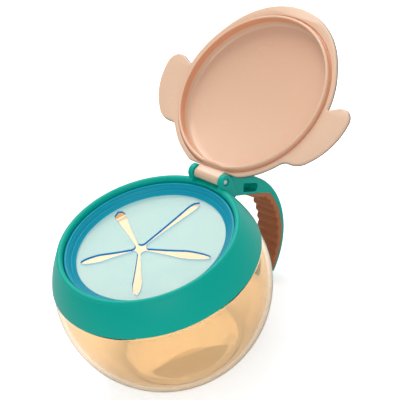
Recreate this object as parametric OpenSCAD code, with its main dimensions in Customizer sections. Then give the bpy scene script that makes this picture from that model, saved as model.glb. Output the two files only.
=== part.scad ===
// Toddler snack container: a ball shaped clear bowl, a screw-on collar with a handle,
// a soft insert with five finger flaps, and a flip lid on a pin hinge.
// +Z is up, the hinge and the handle are at the back (+Y), the thumb tab is at the front.
// The origin is the middle of the underside. The lid is drawn wide open.

/* [Bowl] */
// Outer radius of the ball
ball_r = 50; // [47:0.5:56]
// Radius of the flat underside that the bowl stands on
base_r = 27; // [22:0.5:31]
// Wall of the bowl
bowl_wall = 2.2; // [1.6:0.1:3]
// Thickness of the bowl's floor
floor_t = 3; // [2.2:0.1:4.5]
// Wall of the threaded neck
neck_wall = 2.2; // [1.8:0.1:2.6]
// Height of the neck above the shoulder
neck_h = 9; // [7:0.5:11]

/* [Collar] */
// Radius of the round mouth inside the lip
mouth_r = 40; // [38:0.5:41]
// Rounding radius of the lip
lip_r = 1.5; // [1.2:0.1:2]
// How far the collar stands proud of the ball
collar_proud = 0.6; // [0.3:0.1:1.2]
// Depth of the mouth wall between the lip's middle and the seat of the insert
mouth_d = 3.4; // [3:0.1:4]
// Radial room between the neck and the collar for the thread
thread_room = 1.4; // [1.2:0.1:1.6]
// Gap between the collar's lower edge and the bowl's shoulder
shoulder_gap = 0.4; // [0.3:0.1:0.8]
// Wall left outside the hollow under the collar
collar_wall = 1.7; // [1.4:0.1:2.2]
// Wall of the threaded skirt inside the hollow under the collar
skirt_wall = 1.7; // [1.4:0.1:2]

/* [Hinge] */
// Pin axis behind the lip
hinge_back = 0.8; // [0.6:0.1:1.4]
// Pin axis above the lip
hinge_up = 1.4; // [1.2:0.1:2]
// Radius of the steel pin
pin_r = 1.25; // [1:0.05:1.4]
// Rounding radius of the two ears
ear_r = 3.5; // [3.2:0.1:3.8]
// Thickness of an ear
ear_t = 2.7; // [2:0.1:3.5]
// Outer radius of the lid's barrel on the pin
barrel_r = 2.6; // [2.3:0.05:2.8]
// Width of the strap and barrel between the ears
strap_w = 15; // [12:0.5:18]
// Height of the strap where it leaves the lid
strap_t = 3.2; // [2.6:0.1:3.6]
// Gap between the barrel and an ear, on each side
side_gap = 0.3; // [0.2:0.05:0.5]
// Running clearance between the pin and its holes
pin_clear = 0.04; // [0.02:0.01:0.09]
// Radius of the recess round each end of the pin
pin_recess_r = 1.9; // [1.6:0.1:2.4]
// Depth of that recess
pin_recess_d = 0.7; // [0.4:0.1:1]
// Opening angle of the lid, from shut to fully open
lid_open = 154; // [150:1:154]

/* [Handle] */
// Width of the handle
handle_w = 13.4; // [11:0.2:15]
// Radius of the handle's outer curve
handle_bow = 35.2; // [33:0.2:38]
// Finger gap between the ball and the grip
finger_gap = 19; // [15:0.5:22]
// Thickness of the handle's spine at the middle
spine_t = 2.6; // [2.3:0.1:3.4]
// Extra thickness of the spine towards its root
spine_taper = 1.6; // [0.8:0.1:1.7]
// Depth of the handle's root, square to its outer curve
root_t = 8.9; // [8.4:0.1:10]
// Direction of the root's underside
root_dir = 56.5; // [54:0.5:59]
// Gap between the open lid and the rest on top of the root
rest_gap = 0.15; // [0.1:0.05:0.3]
// Angle at which the spine ends, below the middle
spine_end = 60; // [52:1:62]
// Rounding of the handle's outer edges
edge_r = 1.4; // [0.8:0.1:1.6]
// Length of the side pockets in the root
pocket_l = 10.4; // [8:0.2:11]
// Height of the side pockets
pocket_h = 4.2; // [3.4:0.2:4.6]
// Web left between the two pockets
pocket_web = 2; // [1.5:0.1:3]

/* [Grip] */
// Thickness of the soft grip between its ribs
grip_t = 2.1; // [1.7:0.1:2.6]
// How steeply the grip grows out of the root's underside, in degrees
grip_wedge = 10; // [7:1:13]
// Where the grip starts along the root's underside
grip_from = 1.8; // [0.5:0.1:4]
// Height of the ribs on the grip
rib_h = 0.9; // [0.5:0.1:1.2]
// Spacing of the ribs
rib_pitch = 4.5; // [4:0.25:7]
// Rounding radius of a rib
rib_r = 2.1; // [1.6:0.1:2.4]

/* [Flap insert] */
// Width of the soft rim between the mouth and the thin membrane
funnel_w = 5.2; // [4.4:0.2:7]
// Thickness of the membrane and its flaps
membrane_t = 1.2; // [0.9:0.1:1.6]
// Thickness of the flange that is held between collar and neck
flange_t = 1.4; // [1.1:0.1:1.8]
// Gap round the insert in its seat
seat_gap = 0.3; // [0.2:0.05:0.4]
// Directions of the five slits
slit_dirs = [13, 89, 161, 225, 301];
// Middle of the star of slits, sideways
star_x = -4; // [-5:0.5:5]
// Middle of the star of slits, back and forth
star_y = -3.5; // [-5:0.5:5]
// Distance of each slit's end from the edge of the membrane
slit_margins = [3, 1.5, 1.5, 1.9, 3.3];
// Half width of a slit near the middle
slit_min = 0.7; // [0.4:0.05:1]
// Half width of a slit at its widest
slit_max = 2.2; // [1.2:0.1:2.6]
// Part of a slit's length at which it is widest
slit_widest = 0.8; // [0.7:0.02:0.86]
// Rounding radius of a flap's tip
tip_r = 2.2; // [1:0.1:2.6]

/* [Lid] */
// Gap between the shut lid and the lip
lid_gap = 0.25; // [0.2:0.05:0.4]
// Thickness of the lid's flange and tabs
lid_flange_t = 1.8; // [1.4:0.1:2.2]
// How far the flange stays inside the lip's outer edge
flange_in = 0.6; // [0.2:0.1:1.2]
// Depth of the rim that dips into the mouth
rim_h = 2; // [1.4:0.1:2.1]
// Thickness of that rim
rim_t = 1.5; // [1.2:0.1:1.8]
// Gap between that rim and the mouth
rim_gap = 0.7; // [0.6:0.05:1.2]
// Height of the lid above its flange's underside
lid_h = 6.4; // [6.2:0.1:7.6]
// Rise of the lid's crowned top towards its middle
lid_crown = 3; // [0.6:0.1:3.4]
// Rounding radius of the lid's shoulder
shoulder_r = 4; // [2:0.1:4.2]
// Rounding radius of the bottom edge of the dish inside the lid
dish_round = 3; // [1.6:0.1:3.4]
// Thickness of the lid's top and side wall
lid_wall = 1.8; // [1.4:0.1:2.2]
// How far the thumb tab reaches past the flange
thumb_out = 2.9; // [2:0.1:4]
// How much smaller the thumb tab's radius is than the flange's
thumb_less = 3.1; // [2:0.1:5]
// Reach of the round side tabs past the flange
tab_out = 13.4; // [10:0.2:16]
// Thickness of the dark outer skin on the lid
skin_t = 0.4; // [0.3:0.05:0.6]
// How far the skin stands out past the edge of the flange and tabs
skin_lip = 0.25; // [0.1:0.05:0.4]

/* [Hidden] */

$fn = 96;
// A little extra length so that cuts pass right through
eps = 0.05;
teal = [0.0, 0.62, 0.55];
peach = [0.94, 0.80, 0.70];
brown = [0.55, 0.32, 0.20];
dark_brown = [0.27, 0.17, 0.12];
aqua = [0.70, 0.91, 0.90];
blue = [0.02, 0.64, 0.72];
amber = [0.93, 0.75, 0.55];
steel = [0.75, 0.76, 0.78];

// Heights of the bowl and of the stack in its mouth, from the lip down
ball_z = sqrt(ball_r * ball_r - base_r * base_r);
collar_r = ball_r + collar_proud;
lip_out = mouth_r + 2 * lip_r;
lip_z = ball_z + sqrt(collar_r * collar_r - lip_out * lip_out);
crest_z = lip_z + lip_r;
ledge_z = lip_z - mouth_d;
flange_z = ledge_z - seat_gap - flange_t;
neck_top = flange_z - seat_gap;
shoulder_z = neck_top - neck_h;
collar_low = shoulder_z + shoulder_gap;
neck_r = mouth_r + neck_wall;
bore_r = neck_r + thread_room;
skirt_r = bore_r + skirt_wall;
// Least wall of the collar outside its bore
ring_wall = 1.2;
insert_r = mouth_r - seat_gap;

// Hinge
axis_y = lip_out + hinge_back;
axis_z = crest_z + hinge_up;
ear_in = strap_w / 2 + side_gap;
ear_out = ear_in + ear_t;
hole_r = pin_r + pin_clear;
scoop_r = barrel_r + 0.35;

// Handle: the outer curve is a circle beside the ball, the spine's inner curve one inside it
bow_y = ball_r + finger_gap + rib_h + grip_t + spine_t - handle_bow;
root_drop = 3.2;
root_y = axis_y + 2.2;
bow_z = crest_z - root_drop - sqrt(pow(handle_bow, 2) - pow(root_y - bow_y, 2));
inner_r = handle_bow - spine_t + 0.4;
inner_y = bow_y - 0.4;
inner_z = bow_z - spine_taper;
under_d = handle_bow - root_t;
grip_end = spine_end - 3;
pocket_r = under_d + 3.7;
pocket_dir = root_dir - 7.8;
pocket_depth = (handle_w - pocket_web) / 2;

// Insert
membrane_r = mouth_r - funnel_w;
membrane_top = flange_z - 0.4 + membrane_t;
membrane_z = membrane_top - membrane_t;
star = [star_x, star_y];
root_gap = membrane_t / 2 + 0.3;
root_reach = membrane_t / 3;
slit_count = len(slit_dirs);
end_gap = 0.35;

// Lid, in its shut place
lid_z = crest_z + lid_gap;
lid_r = lip_out - flange_in;
lid_back = axis_y - ear_r - 0.4;
rim_r = mouth_r - rim_gap;
dish_r = rim_r - rim_t;
dish_back = lid_back - 2.7;
drum_r = rim_r + 0.9;
top_z = lid_z + lid_h;
drum_back = lid_back - 0.3;
back_cut = 1.1;

// Where a point in Y and Z of the shut lid goes to when the lid is wide open
function swung(p) =
    [axis_y + (p[0] - axis_y) * cos(lid_open) + (p[1] - axis_z) * sin(lid_open),
     axis_z - (p[0] - axis_y) * sin(lid_open) + (p[1] - axis_z) * cos(lid_open)];

// The slanted back edge of the lid's skin, moved off by the rest gap and swung open
rest_a = swung([drum_back + skin_t + rest_gap * sqrt(0.5), top_z + skin_t - back_cut + rest_gap * sqrt(0.5)]);
rest_b = swung([drum_back + skin_t - back_cut + rest_gap * sqrt(0.5), top_z + skin_t + rest_gap * sqrt(0.5)]);
rest_dir = (rest_b - rest_a) / norm(rest_b - rest_a);
// How far the rest runs on towards the pin, so far that it stays clear of the strap
rest_front = sqrt(2) * (lid_h + skin_t - back_cut - strap_t - 1.1);

// Points along an arc round c, from angle a to angle b
function arc(c, r, a, b, n) =
    [for (i = [0:n]) let(t = a + (b - a) * i / n) [c[0] + r * cos(t), c[1] + r * sin(t)]];

// Middle, length and direction of slit k, and half its width a part q along it
function slit_tip(k) =
    let(j = (k + slit_count) % slit_count, a = slit_dirs[j])
        (membrane_r - slit_margins[j]) * [cos(a), sin(a)];
function slit_len(k) = norm(slit_tip(k) - star);
function slit_dir(k) = (slit_tip(k) - star) / slit_len(k);
function slit_half(q) = q < slit_widest
    ? slit_min + (slit_max - slit_min) * pow(q / slit_widest, 1.6)
    : max(end_gap, slit_max * sqrt(max(0, 1 - pow((q - slit_widest) / (1 - slit_widest), 2))));
function turned(v) = [-v[1], v[0]];
function slit_point(k, q, side) =
    star + slit_dir(k) * slit_len(k) * q + turned(slit_dir(k)) * side * slit_half(q);

// Outline of the flap between slit k and the next: up one edge, down the other, round the tip.
// It runs a little past the bending line, where the flap is cut off straight
function flap_half_angle(k) =
    acos(slit_dir(k) * slit_dir(k + 1)) / 2;
function flap_tip_d(k) = (slit_min + tip_r) / sin(flap_half_angle(k));
function flap_mid(k) =
    let(m = slit_dir(k) + slit_dir(k + 1)) m / norm(m);
function flap_tangent(k, j) = (slit_min + tip_r) / tan(flap_half_angle(k)) / slit_len(j);
function flap_edge(k, j, side) =
    [for (i = [0:20]) let(q0 = flap_tangent(k, j), t = 1 - pow(1 - i / 20, 1.5))
        slit_point(j, q0 + (1.03 - q0) * t, side)];
function flipped(list) = [for (i = [len(list) - 1:-1:0]) list[i]];
function flap_outline(k) =
    let(c = star + flap_mid(k) * flap_tip_d(k),
        a = atan2(flap_mid(k)[1], flap_mid(k)[0]),
        h = 90 - flap_half_angle(k))
    concat(flap_edge(k, k, 1), flipped(flap_edge(k, k + 1, -1)),
           arc(c, tip_r, a + 180 - h, a + 180 + h, 8));

// Corner of the soft ring's five-sided hole: where two chords, moved outwards, meet
function chord_dir(k) =
    let(d = slit_tip(k + 1) - slit_tip(k)) d / norm(d);
function chord_out(k) = -turned(chord_dir(k));
function hole_corner(k) =
    let(n0 = chord_out(k - 1), n1 = chord_out(k), m = n0 + n1)
    slit_tip(k) + m * root_gap / (m * n1);

// A disc along X with rounded rims, from its middle out to the handle's outer curve
module handle_wheel() {
    translate([0, bow_y, bow_z])
        rotate([0, 90, 0])
            rotate_extrude($fn = 160)
                union() {
                    translate([0, -handle_w / 2])
                        square([handle_bow - edge_r, handle_w]);
                    translate([0, edge_r - handle_w / 2])
                        square([handle_bow, handle_w - 2 * edge_r]);
                    for (s = [-1, 1])
                        translate([handle_bow - edge_r, s * (handle_w / 2 - edge_r)])
                            circle(r = edge_r, $fn = 24);
                }
}

// A shape drawn in Y and Z, made w thick across X
module across(w) {
    translate([-w / 2, 0, 0])
        rotate([90, 0, 90])
            linear_extrude(height = w)
                children();
}

// Everything below the root's underside, moved down by d, and inside the inner curve less d
module finger_space_2d(d) {
    intersection() {
        translate([inner_y, inner_z])
            circle(r = inner_r - d, $fn = 160);
        translate([bow_y, bow_z])
            rotate(root_dir)
                translate([-3 * handle_bow, -3 * handle_bow])
                    square([3 * handle_bow + under_d - d, 6 * handle_bow]);
    }
}

// The part of the plane above a ray that leaves the handle's middle at angle a below it
module above_end_2d(a) {
    translate([bow_y, bow_z])
        rotate(-a)
            translate([0, 0])
                square([3 * handle_bow, 3 * handle_bow]);
}

// Rest on top of the root, for the slanted back edge of the open lid
module lid_rest() {
    front = rest_a - rest_front * rest_dir;
    back = rest_b + 0.35 * rest_dir;
    across(handle_w - 0.6)
        polygon([front, back, [back[0] + 4.6, back[1] - 4.3], [back[0] + 1, back[1] - 8],
                 [front[0] - 1, front[1] - 7], [front[0] - 1, front[1] - 0.6]]);
}

module handle_spine() {
    difference() {
        union() {
            intersection() {
                handle_wheel();
                across(handle_w + 2)
                    union() {
                        above_end_2d(spine_end);
                        translate([max(bow_y, mouth_r + lip_r), bow_z])
                            square([3 * handle_bow, 3 * handle_bow]);
                    }
            }
            lid_rest();
        }
        across(handle_w + 4)
            finger_space_2d(0);
        pockets();
    }
    // Round lower end
    intersection() {
        handle_wheel();
        across(handle_w - 2 * edge_r)
            translate([bow_y, bow_z])
                rotate(-spine_end)
                    translate([handle_bow - edge_r, 0])
                        circle(r = edge_r, $fn = 32);
    }
}

// Outline of a side pocket: nearly square and slanted towards the hinge, round at the other end
module pocket_2d() {
    h = pocket_h / 2;
    l = pocket_l / 2;
    r = 0.95 * h;
    polygon(concat(arc([l - r, h - r], r, 90, 0, 8), arc([l - r, r - h], r, 0, -90, 8),
                   arc([1.5 - l, 0.5 - h], 0.5, -90, -160, 4), arc([0.5 - l, h - 0.5], 0.5, 170, 90, 4)));
}

// Blind pockets in both sides of the root
module pockets() {
    for (s = [0, 1])
        mirror([s, 0, 0])
            translate([handle_w / 2 - pocket_depth, 0, 0])
                rotate([90, 0, 90])
                    linear_extrude(height = pocket_depth + 1)
                        translate([bow_y + pocket_r * cos(pocket_dir), bow_z + pocket_r * sin(pocket_dir)])
                            rotate(root_dir - 93)
                                pocket_2d();
}

// Two ears that carry the pin, each with a foot that runs down the back of the collar
module ears() {
    foot = axis_z - 11;
    for (s = [0, 1])
        mirror([s, 0, 0])
            translate([ear_in, 0, 0])
                rotate([90, 0, 90])
                    linear_extrude(height = ear_t)
                        union() {
                            translate([axis_y, axis_z])
                                circle(r = ear_r);
                            polygon([[axis_y - ear_r, axis_z], [axis_y - ear_r, foot + 4],
                                     [axis_y, foot], [axis_y + ear_r - 0.3, foot],
                                     [axis_y + ear_r, foot + 3], [axis_y + ear_r, axis_z]]);
                        }
}

module pin_hole() {
    translate([-ear_out - 1, axis_y, axis_z])
        rotate([0, 90, 0])
            cylinder(r = hole_r, h = 2 * ear_out + 2);
    for (s = [0, 1])
        mirror([s, 0, 0])
            translate([ear_out - pin_recess_d, axis_y, axis_z])
                rotate([0, 90, 0])
                    cylinder(r = pin_recess_r, h = pin_recess_d + 1);
}

module collar() {
    hollow_out = sqrt(pow(collar_r - collar_wall, 2) - pow(collar_low - ball_z, 2));
    hollow_in = min(skirt_r, hollow_out - 0.6);
    hollow_top = ball_z + sqrt(pow(collar_r - collar_wall, 2) - hollow_in * hollow_in);
    color(teal)
    difference() {
        union() {
            // Ring that follows the ball, under a round lip
            intersection() {
                translate([0, 0, ball_z])
                    sphere(r = collar_r, $fn = 160);
                translate([0, 0, collar_low])
                    cylinder(r = collar_r, h = lip_z - collar_low, $fn = 160);
            }
            translate([0, 0, collar_low])
                cylinder(r = bore_r + ring_wall, h = ledge_z - collar_low, $fn = 160);
            translate([0, 0, lip_z])
                rotate_extrude($fn = 160)
                    translate([mouth_r + lip_r, 0])
                        circle(r = lip_r, $fn = 32);
            ears();
            handle_spine();
        }
        // Mouth, seat of the insert and thread bore
        translate([0, 0, collar_low - 1])
            cylinder(r = bore_r, h = ledge_z - collar_low + 1, $fn = 160);
        translate([0, 0, ledge_z - 1])
            cylinder(r = mouth_r, h = lip_z - ledge_z + 1 + eps, $fn = 160);
        // Hollow between the threaded skirt and the outer wall
        rotate_extrude($fn = 160)
            polygon([[hollow_in, collar_low - eps], [hollow_out, collar_low - eps],
                     [(hollow_out + hollow_in) / 2 + 0.3, (collar_low + hollow_top) / 2],
                     [hollow_in, hollow_top]]);
        // Room for the barrel and strap between the ears
        translate([-ear_in, axis_y, axis_z])
            rotate([0, 90, 0])
                cylinder(r = scoop_r, h = 2 * ear_in);
        translate([-ear_in, axis_y - scoop_r - 3, axis_z - barrel_r - 0.1])
            cube([2 * ear_in, scoop_r + 3, barrel_r + 4]);
        pin_hole();
    }
}

// Soft ribbed pad on the inside of the handle, growing out of the root's underside
module handle_grip() {
    valley = inner_r - grip_t;
    sweep = rib_pitch / valley * 180 / PI;
    start = grip_end - 0.7 * sweep;
    color(brown)
    across(handle_w)
    intersection() {
        difference() {
            finger_space_2d(0.02);
            difference() {
                intersection() {
                    translate([inner_y, inner_z])
                        circle(r = valley, $fn = 160);
                    translate([bow_y, bow_z])
                        rotate(root_dir)
                            translate([under_d, -grip_from])
                                rotate(-grip_wedge)
                                    translate([-3 * handle_bow, -3 * handle_bow])
                                        square([3 * handle_bow, 6 * handle_bow]);
                }
                // Ribs round the curve
                for (a = [-start:sweep:18])
                    translate([inner_y, inner_z])
                        rotate(a)
                            translate([valley + rib_r - rib_h, 0])
                                circle(r = rib_r, $fn = 32);
                // Ribs on the wedge under the root
                for (i = [1:2])
                    translate([bow_y, bow_z])
                        rotate(root_dir)
                            translate([under_d, -grip_from])
                                rotate(-grip_wedge)
                                    translate([rib_r - 0.7 * rib_h, -1 - 0.8 * i * rib_pitch])
                                        circle(r = rib_r, $fn = 32);
            }
        }
        above_end_2d(grip_end);
    }
}

module hinge_pin() {
    length = 2 * (ear_out - pin_recess_d + 0.3);
    color(steel)
    translate([-length / 2, axis_y, axis_z])
        rotate([0, 90, 0])
            cylinder(r = pin_r, h = length, $fn = 48);
}

module bowl() {
    inside = ball_r - bowl_wall;
    color(amber)
    difference() {
        union() {
            intersection() {
                translate([0, 0, ball_z])
                    sphere(r = ball_r, $fn = 160);
                cylinder(r = ball_r + 1, h = shoulder_z, $fn = 160);
            }
            translate([0, 0, shoulder_z - eps])
                cylinder(r = neck_r, h = neck_top - neck_wall / 2 - shoulder_z + eps, $fn = 160);
            // Round rim of the neck
            translate([0, 0, neck_top - neck_wall / 2])
                rotate_extrude($fn = 160)
                    translate([neck_r - neck_wall / 2, 0])
                        circle(r = neck_wall / 2, $fn = 24);
        }
        intersection() {
            translate([0, 0, ball_z])
                sphere(r = inside, $fn = 160);
            translate([0, 0, floor_t])
                cylinder(r = ball_r, h = shoulder_z - bowl_wall - floor_t, $fn = 160);
        }
        translate([0, 0, shoulder_z - bowl_wall - 1])
            cylinder(r = neck_r - neck_wall, h = neck_h + bowl_wall + 2, $fn = 160);
    }
}

// Soft rim of the insert: a flange in the seat and a funnel down to the membrane
module flap_ring() {
    plug_r = neck_r - neck_wall - seat_gap;
    rim_top = lip_z - 0.75;
    color(blue)
    difference() {
        rotate_extrude($fn = 160)
            polygon(concat(
                [[0, membrane_z], [membrane_r + 1.6, membrane_z], [membrane_r + 2.6, membrane_z - 0.9],
                 [plug_r, membrane_z - 0.9], [plug_r, flange_z],
                 [bore_r - seat_gap - 1.2, flange_z], [bore_r - seat_gap - 1.2, flange_z + flange_t],
                 [insert_r, flange_z + flange_t], [insert_r, rim_top - 0.3], [insert_r - 0.5, rim_top]],
                [[insert_r - 1.1, rim_top - 0.1], [insert_r - 1.9, rim_top - 0.7],
                 [insert_r - 3.2, membrane_top + 1.75], [insert_r - 4.1, membrane_top + 0.9],
                 [membrane_r + 0.25, membrane_top + 0.25], [membrane_r - 0.4, membrane_top],
                 [0, membrane_top]]));
        translate([0, 0, membrane_z - 2])
            linear_extrude(height = membrane_t + 4)
                polygon([for (k = [0:slit_count - 1]) hole_corner(k)]);
    }
}

// One flap: a leaf between two slits, cut off straight just past its bending line
module flap(k) {
    d = chord_dir(k);
    chord = norm(slit_tip(k + 1) - slit_tip(k));
    color(aqua)
    translate([0, 0, membrane_z])
        linear_extrude(height = membrane_t)
            intersection() {
                polygon(flap_outline(k));
                translate(slit_tip(k) + chord_out(k) * root_reach)
                    rotate(atan2(d[1], d[0]))
                        translate([-chord, 0])
                            square([3 * chord, 2 * chord]);
            }
}

// Outline of the lid's flat flange, grown outwards by g: a disc cut straight at the hinge,
// a thumb tab and two side tabs
module lid_outline_2d(g) {
    thumb_r = lid_r - thumb_less;
    tab_r = 31.5;
    tab_c = [lid_r + tab_out - tab_r, -0.8];
    tip_r = 5.5;
    tip_c = [lid_r + tab_out - tip_r, -1];
    top_r = 12.7;
    top_c = [lid_r - 4.8, 12.9];
    intersection() {
        union() {
            circle(r = lid_r + g, $fn = 160);
            translate([0, thumb_r - lid_r - thumb_out])
                circle(r = thumb_r + g, $fn = 160);
            for (s = [0, 1])
                mirror([s, 0])
                    polygon(concat(arc(top_c, top_r + g, 108, 55, 10), arc(tab_c, tab_r + g, 49, 1, 16),
                                   arc(tip_c, tip_r + g, 0, -140, 16), [[lid_r - 4, -1.5], [lid_r - 12, 10]]));
        }
        translate([-3 * lid_r, lid_back - 6 * lid_r])
            square([6 * lid_r, 6 * lid_r]);
    }
}

// Turned profile of the lid's drum, grown outwards by g: side, round shoulder, crowned top
module drum(g) {
    r = drum_r + g;
    s = shoulder_r + g;
    top = top_z + g;
    intersection() {
        rotate_extrude($fn = 160)
            polygon(concat([[0, lid_z + 0.5], [r + 0.6, lid_z + 0.5]],
                           arc([r - s, top - s], s, 0, 90, 10),
                           [for (i = [1:6]) let(q = 1 - i / 6) [(r - s) * q, top + lid_crown * (1 - q * q)]]));
        translate([-2 * lid_r, drum_back + g - 4 * lid_r, lid_z])
            cube([4 * lid_r, 4 * lid_r, 2 * lid_h]);
    }
}

// Slanted edge along the drum's straight back
module back_chamfer(g) {
    translate([-2 * lid_r, drum_back + g, top_z + g - back_cut])
        rotate([45, 0, 0])
            cube([4 * lid_r, 4 * back_cut, 4 * back_cut]);
}

// Hollow of the lid: a dish with a round bottom edge
module dish() {
    s = dish_round;
    top = top_z - lid_wall;
    intersection() {
        rotate_extrude($fn = 160)
            polygon(concat([[0, lid_z - rim_h - 1], [dish_r, lid_z - rim_h - 1]],
                           arc([dish_r - 0.3 - s, top - s], s, 0, 90, 8),
                           [for (i = [1:6]) let(q = 1 - i / 6) [(dish_r - 0.3 - s) * q, top + lid_crown * (1 - q * q)]]));
        translate([-2 * lid_r, dish_back - 4 * lid_r, lid_z - 2 * rim_h])
            cube([4 * lid_r, 4 * lid_r, 3 * lid_h]);
    }
}

// Strap and barrel that carry the lid on the pin
module strap() {
    translate([-strap_w / 2, 0, 0])
        rotate([90, 0, 90])
            linear_extrude(height = strap_w)
                union() {
                    translate([axis_y, axis_z])
                        circle(r = barrel_r, $fn = 64);
                    polygon([[drum_back - 1, lid_z], [lid_back, lid_z], [axis_y - 0.6, axis_z - barrel_r + 0.08],
                             [axis_y, axis_z], [axis_y, axis_z + barrel_r], [drum_back - 1, lid_z + strap_t + 0.5]]);
                }
}

module lid_shut() {
    difference() {
        union() {
            translate([0, 0, lid_z])
                linear_extrude(height = lid_flange_t)
                    lid_outline_2d(0);
            // Rim that dips into the mouth, straight at the back
            translate([0, 0, lid_z - rim_h])
                linear_extrude(height = rim_h + eps)
                    intersection() {
                        circle(r = rim_r, $fn = 160);
                        translate([-2 * lid_r, dish_back + rim_t - 4 * lid_r])
                            square([4 * lid_r, 4 * lid_r]);
                    }
            difference() {
                drum(0);
                back_chamfer(0);
            }
            strap();
        }
        dish();
        translate([-strap_w / 2 - 1, axis_y, axis_z])
            rotate([0, 90, 0])
                cylinder(r = hole_r, h = strap_w + 2, $fn = 48);
    }
}

module skin_shut() {
    difference() {
        union() {
            translate([0, 0, lid_z + lid_flange_t])
                linear_extrude(height = skin_t)
                    lid_outline_2d(skin_lip);
            difference() {
                drum(skin_t);
                back_chamfer(skin_t);
                translate([0, 0, lid_z + lid_flange_t - 10])
                    cylinder(r = 2 * lid_r, h = 10);
            }
        }
        difference() {
            drum(0);
            back_chamfer(0);
        }
        translate([-strap_w / 2 - 0.2, drum_back - 1, lid_z - 1])
            cube([strap_w + 0.4, 10, strap_t + 1.8]);
    }
}

// Turns the shut lid about the pin to where it rests wide open
module opened() {
    translate([0, axis_y, axis_z])
        rotate([-lid_open, 0, 0])
            translate([0, -axis_y, -axis_z])
                children();
}

module lid() {
    color(peach)
    opened()
        lid_shut();
}

module lid_skin() {
    color(dark_brown)
    opened()
        skin_shut();
}

bowl();
collar();
handle_grip();
hinge_pin();
flap_ring();
flap(0);  // flap_1
flap(1);  // flap_2
flap(2);  // flap_3
flap(3);  // flap_4
flap(4);  // flap_5
lid();
lid_skin();
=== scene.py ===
import logging
import math
from dataclasses import dataclass
from enum import Enum
from typing import Callable, Iterable, Sequence

import bmesh
import bpy
from mathutils import Matrix, Vector
from mathutils.geometry import tessellate_polygon


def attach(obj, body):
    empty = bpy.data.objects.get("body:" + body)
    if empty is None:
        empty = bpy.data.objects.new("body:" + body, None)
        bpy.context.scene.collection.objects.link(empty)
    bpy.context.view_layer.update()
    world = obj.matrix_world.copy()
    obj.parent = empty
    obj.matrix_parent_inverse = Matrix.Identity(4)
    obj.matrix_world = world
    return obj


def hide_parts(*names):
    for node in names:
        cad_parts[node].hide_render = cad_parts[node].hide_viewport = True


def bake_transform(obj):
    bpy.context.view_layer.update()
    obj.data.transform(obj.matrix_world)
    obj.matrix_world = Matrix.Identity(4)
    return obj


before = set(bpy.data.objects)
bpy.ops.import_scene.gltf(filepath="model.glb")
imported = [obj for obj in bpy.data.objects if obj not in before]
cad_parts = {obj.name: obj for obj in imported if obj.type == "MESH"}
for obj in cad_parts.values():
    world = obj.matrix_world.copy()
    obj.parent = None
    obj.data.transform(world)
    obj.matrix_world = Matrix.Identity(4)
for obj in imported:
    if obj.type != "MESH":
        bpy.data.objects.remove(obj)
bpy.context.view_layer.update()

# Looks of the toddler snack container. Sizes are in millimetres in the part's own frame, and
# are scaled to metres when a mesh is made.

LOG = logging.getLogger("snack_container")
MM = 0.001

Point2 = tuple[float, float]
Point3 = tuple[float, float, float]
Colour = tuple[float, float, float]
Placing = Callable[[float, float, float], Point3]

# The ball and its neck
BALL_R = 50.0
BALL_Z = 42.083
SHOULDER_Z = 54.355
NECK_TOP = SHOULDER_Z + 9.0

# The collar's ledge and lip, and the membrane
LEDGE_Z = NECK_TOP + 2.0
COLLAR_LOW = SHOULDER_Z + 0.4
MOUTH_R = 40.0
LIP_R = 1.5
LIP_Z = LEDGE_Z + 3.4
MEMBRANE_TOP = NECK_TOP + 1.1
MEMBRANE_Z = MEMBRANE_TOP - 1.2

# The shut lid's lower face, the hinge axis and the swing between open and shut
LID_Z = LIP_Z + 1.75
AXIS_Y = 43.8
AXIS_Z = LID_Z + 1.15
LID_OPEN = math.radians(154.0)
PIN_BORE = 1.29


# Shader graphs


class Signal:
    """A number that varies over a surface. Arithmetic on it adds Math nodes."""

    def __init__(self, graph: "Graph", socket: bpy.types.NodeSocket) -> None:
        """Wraps an output socket of a graph's node."""
        self.graph = graph
        self.socket = socket

    def _math(self, operation: str, first: "Signal | float", second: "Signal | float") -> "Signal":
        """Adds one Math node.

        Args:
            operation: The node's operation.
            first: The first value or link.
            second: The second value or link.

        Returns:
            The node's output.
        """
        inputs = {0: first, 1: second}
        return self.graph.signal("ShaderNodeMath", "Value", {"operation": operation}, inputs)

    def __add__(self, other: "Signal | float") -> "Signal":
        """Returns the sum."""
        return self._math("ADD", self, other)

    __radd__ = __add__

    def __mul__(self, other: "Signal | float") -> "Signal":
        """Returns the product."""
        return self._math("MULTIPLY", self, other)

    __rmul__ = __mul__

    def __sub__(self, other: "Signal | float") -> "Signal":
        """Returns the difference."""
        return self._math("SUBTRACT", self, other)

    def __rsub__(self, other: "Signal | float") -> "Signal":
        """Returns the difference with the signal on the right."""
        return self._math("SUBTRACT", other, self)

    def __truediv__(self, other: "Signal | float") -> "Signal":
        """Returns the quotient."""
        return self._math("DIVIDE", self, other)

    def __rtruediv__(self, other: "Signal | float") -> "Signal":
        """Returns the quotient with the signal below."""
        return self._math("DIVIDE", other, self)

    def __pow__(self, other: "Signal | float") -> "Signal":
        """Returns the power."""
        return self._math("POWER", self, other)

    def __rpow__(self, other: "Signal | float") -> "Signal":
        """Returns the power with the signal as exponent."""
        return self._math("POWER", other, self)

    def limited(self, low: float = 0.0, high: float = 1.0) -> "Signal":
        """Returns the signal held between two numbers."""
        return self._math("MINIMUM", self._math("MAXIMUM", self, low), high)


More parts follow.
